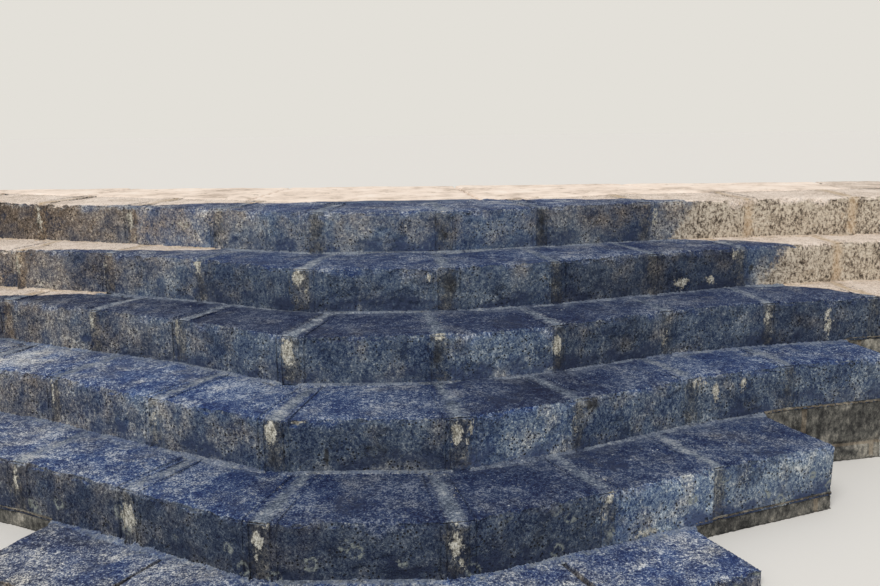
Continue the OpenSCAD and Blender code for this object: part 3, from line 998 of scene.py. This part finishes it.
    # Dark smears and pale patches placed as on the real stones
    colour = coat(tree, colour, linear("#2a2a2b"), ragged(tree, place, "dark", 0.30, 0.95, 26, 1.6), 0.85)
    bare = shades(tree, total(tree, (grain, 1.0), (speckle, 0.7)), *BARE, low=0.32, high=0.64)
    colour = coat(tree, colour, bare, ragged(tree, upright, "pale", 0.44, 0.66, 16, 2.4))

    # Painted sunlight on stone and mortar
    beige = shades(tree, total(tree, (grain, 1.7), (mottle, 0.5)), *SUNLIT_BEIGE, low=0.26, high=0.64)
    sunlit = coat(tree, beige, shades(tree, worn, *SUNLIT_CREAM, low=0.28, high=0.62), tread)
    sunlit = coat(tree, sunlit, shades(tree, grain, *SUNLIT_SANDY, low=0.34, high=0.62), joint)
    colour = coat(tree, colour, sunlit, ragged(tree, place, "sunlit", 0.36, 0.64, 40, 1.0))
    return colour, grain, speckle, hole


def worn_limestone():
    """Cut limestone that has stood outdoors for decades: sawn and hewn, then pitted, dark with algae and
    lichen, trodden smooth on top. It gives the eye blue-black treads and mottled charcoal risers, their blue
    painted sky shade, with pale patches of painted sunlight."""
    material, tree, shader = surface("worn_limestone", 0.85)
    colour, grain, speckle, hole = weathered(tree, add(tree, "TexCoord").outputs["Object"])
    tree.links.new(colour, shader.inputs["Base Color"])
    roughen(tree, shader, 5 * MM, (speckle, 1.0), (grain, 1.2), (hole, -0.8))
    return material


def lime_mortar():
    """Hand-laid lime and sand mortar, struck flush and weathered. It gives the eye sandy grey seams on the
    treads, and dark crusted ones on the risers with cream patches where the skin has worn off, and pale sandy
    seams where sunlight is painted on it."""
    material, tree, shader = surface("lime_mortar", 0.92)
    colour, grain, speckle, _ = weathered(tree, add(tree, "TexCoord").outputs["Object"])
    tree.links.new(colour, shader.inputs["Base Color"])
    roughen(tree, shader, 4 * MM, (speckle, 1.4), (grain, 0.8))
    return material


def landing_paving():
    """Sawn limestone paving in the sun, swept and dry. It gives the eye a bright cream floor, pale stone
    painted as it looks in full sun, with faint streaks and dusty stains, and painted blue-grey shadow along
    its front."""
    material, tree, shader = surface("landing_paving", 0.8)
    place = add(tree, "TexCoord").outputs["Object"]
    streaks = add(tree, "Mapping", {"Vector": place, "Scale": (0.35, 1, 1)}).outputs[0]
    grain = pattern(tree, streaks, 18, detail=4.0, roughness=0.85)
    rough = total(tree, (grain, 0.8), (pattern(tree, place, 160, 3.0, 0.6), 0.9), (read(tree, "tone"), 0.12))
    colour = shades(tree, rough, "#b9a695", "#dccaba", "#f2e0d0", "#fae9da", "#fef2e5", low=0.26, high=0.72)
    colour = coat(tree, colour, linear("#b3a18c"), patches(tree, place, 90, 0.58, 0.68),
                  patches(tree, place, 16, 0.42, 0.60))
    # Painted shadow, dark blue-grey, over the front of the landing where its painted sunlight ends
    shade_film = shades(tree, rough, "#2a3448", "#3d4a63", "#56637b", "#79859a", low=0.28, high=0.72)
    soiled_and_shadowed = step(tree, total(tree, (read(tree, "sunlit"), 1.0), (pattern(tree, place, 40), 0.7)), 0.60, 0.40)
    colour = coat(tree, colour, shade_film, soiled_and_shadowed)
    tree.links.new(colour, shader.inputs["Base Color"])
    roughen(tree, shader, 3 * MM, (grain, 0.8), (pattern(tree, place, 9), 0.6))
    return material


def coursed_walling(name, blocks, joints):
    """Rock-faced limestone blocks in mortar. blocks and joints are their shades from dark to light."""
    material, tree, shader = surface(name, 0.88)
    place = add(tree, "TexCoord").outputs["Object"]
    upright = add(tree, "Mapping", {"Vector": place, "Scale": (1, 1, 0.6)}).outputs[0]
    grain = pattern(tree, upright, 20, detail=5.0, roughness=0.85)
    mottle = pattern(tree, place, 110, detail=3.0, roughness=0.6)
    rough = total(tree, (grain, 1.2), (mottle, 0.8), (read(tree, "tone"), 0.16))
    colour = shades(tree, rough, *blocks, low=0.28, high=0.72)
    mortar = shades(tree, total(tree, (grain, 1.2), (mottle, 0.6)), *joints, low=0.32, high=0.68)
    colour = coat(tree, colour, mortar, ragged(tree, place, "seam", 0.42, 0.62, 22, 0.6))
    # Painted sunlight: the tops of sunlit walls are pale cream
    upward = add(tree, "SeparateXYZ", {0: add(tree, "NewGeometry").outputs["Normal"]}).outputs[2]
    colour = coat(tree, colour, shades(tree, rough, "#c4b2a1", "#e4d3c3", "#f6e6d8", low=0.34, high=0.64),
                  ragged(tree, place, "sunlit", 0.40, 0.60, 40, 0.8), step(tree, upward, 0.3, 0.7))
    tree.links.new(colour, shader.inputs["Base Color"])
    roughen(tree, shader, 6 * MM, (grain, 1.2), (pattern(tree, place, 10), 0.8))
    return material


# The camera, the floor and the light

FLOOR_SIZE = 80
SKY_STRENGTH = 0.72
LAMP_STRENGTH = 1.5
LAMP_SPREAD = math.radians(28)
LAMP_WAY = Vector((0.35, 0.75, -1.0))


def camera():
    """The photo's viewpoint."""
    data = bpy.data.cameras.new("photo_view")
    data.sensor_width = SENSOR
    data.lens = FOCAL_PIXELS / IMAGE_WIDTH * SENSOR
    eye = bpy.data.objects.new("photo_view", data)
    bpy.context.scene.collection.objects.link(eye)
    tilt = Matrix.Rotation(math.pi / 2 - CAMERA_PITCH, 4, "X")
    roll = Matrix.Rotation(CAMERA_ROLL, 4, "Z")
    eye.matrix_world = Matrix.Translation(CAMERA_PLACE) @ tilt @ roll
    bpy.context.scene.camera = eye


def studio():
    """A plain pale floor, an even white sky and one wide soft lamp from the upper left. What the camera sees
    of the sky has the floor's colour, so that the two meet without a line."""
    bpy.ops.mesh.primitive_plane_add(size=FLOOR_SIZE, location=(0, 0, 0))
    floor = bpy.context.object
    floor.name = "studio_floor"
    material, tree, shader = surface("studio_floor", 1.0)
    shader.inputs["Base Color"].default_value = linear("#e4e1dc")
    floor.data.materials.append(material)
    world = bpy.data.worlds.new("studio")
    world.use_nodes = True
    tree = world.node_tree
    light = tree.nodes["Background"]
    light.inputs["Color"].default_value = linear("#eeedeb")
    light.inputs["Strength"].default_value = SKY_STRENGTH
    backdrop = add(tree, "Background", {"Color": linear("#e3e0d9"), "Strength": 1.0})
    rays = add(tree, "LightPath").outputs
    seen = rays["Is Camera Ray"]
    for kind in ("Is Glossy Ray", "Is Transmission Ray"):
        seen = add(tree, "Math", {0: seen, 1: rays[kind]}, operation="MAXIMUM").outputs[0]
    sky = add(tree, "MixShader", {0: seen, 1: light.outputs[0], 2: backdrop.outputs[0]})
    tree.links.new(sky.outputs[0], tree.nodes["World Output"].inputs["Surface"])
    bpy.context.scene.world = world
    lamp = bpy.data.lights.new("soft_lamp", "SUN")
    lamp.energy = LAMP_STRENGTH
    lamp.angle = LAMP_SPREAD
    sun = bpy.data.objects.new("soft_lamp", lamp)
    bpy.context.scene.collection.objects.link(sun)
    sun.rotation_euler = LAMP_WAY.to_track_quat("-Z", "Y").to_euler()


camera()
studio()
STONE = worn_limestone()
MORTAR = lime_mortar()
PAVING = landing_paving()
WALLING = coursed_walling(
    "coursed_walling",
    blocks=("#2f2f2f", "#474644", "#605f5a", "#7b7871", "#979287", "#b5b0a4"),
    joints=("#5d554b", "#857b6d", "#aa9f8e"))
BACKING = coursed_walling(
    "backing_blocks",
    blocks=("#3a3732", "#565149", "#716b61", "#8e877a", "#a8a194", "#c0b9ab"),
    joints=("#7d7365", "#a09584", "#c0b5a2"))
for course in COURSES:
    step_stones(course, STONE)
    step_mortar(course, MORTAR)
footing_stones(STONE)
fillets(MORTAR)
landing_slabs(PAVING)
flank_walls(WALLING)
hearting(BACKING, MORTAR)

bpy.context.scene.view_settings.view_transform = "Standard"
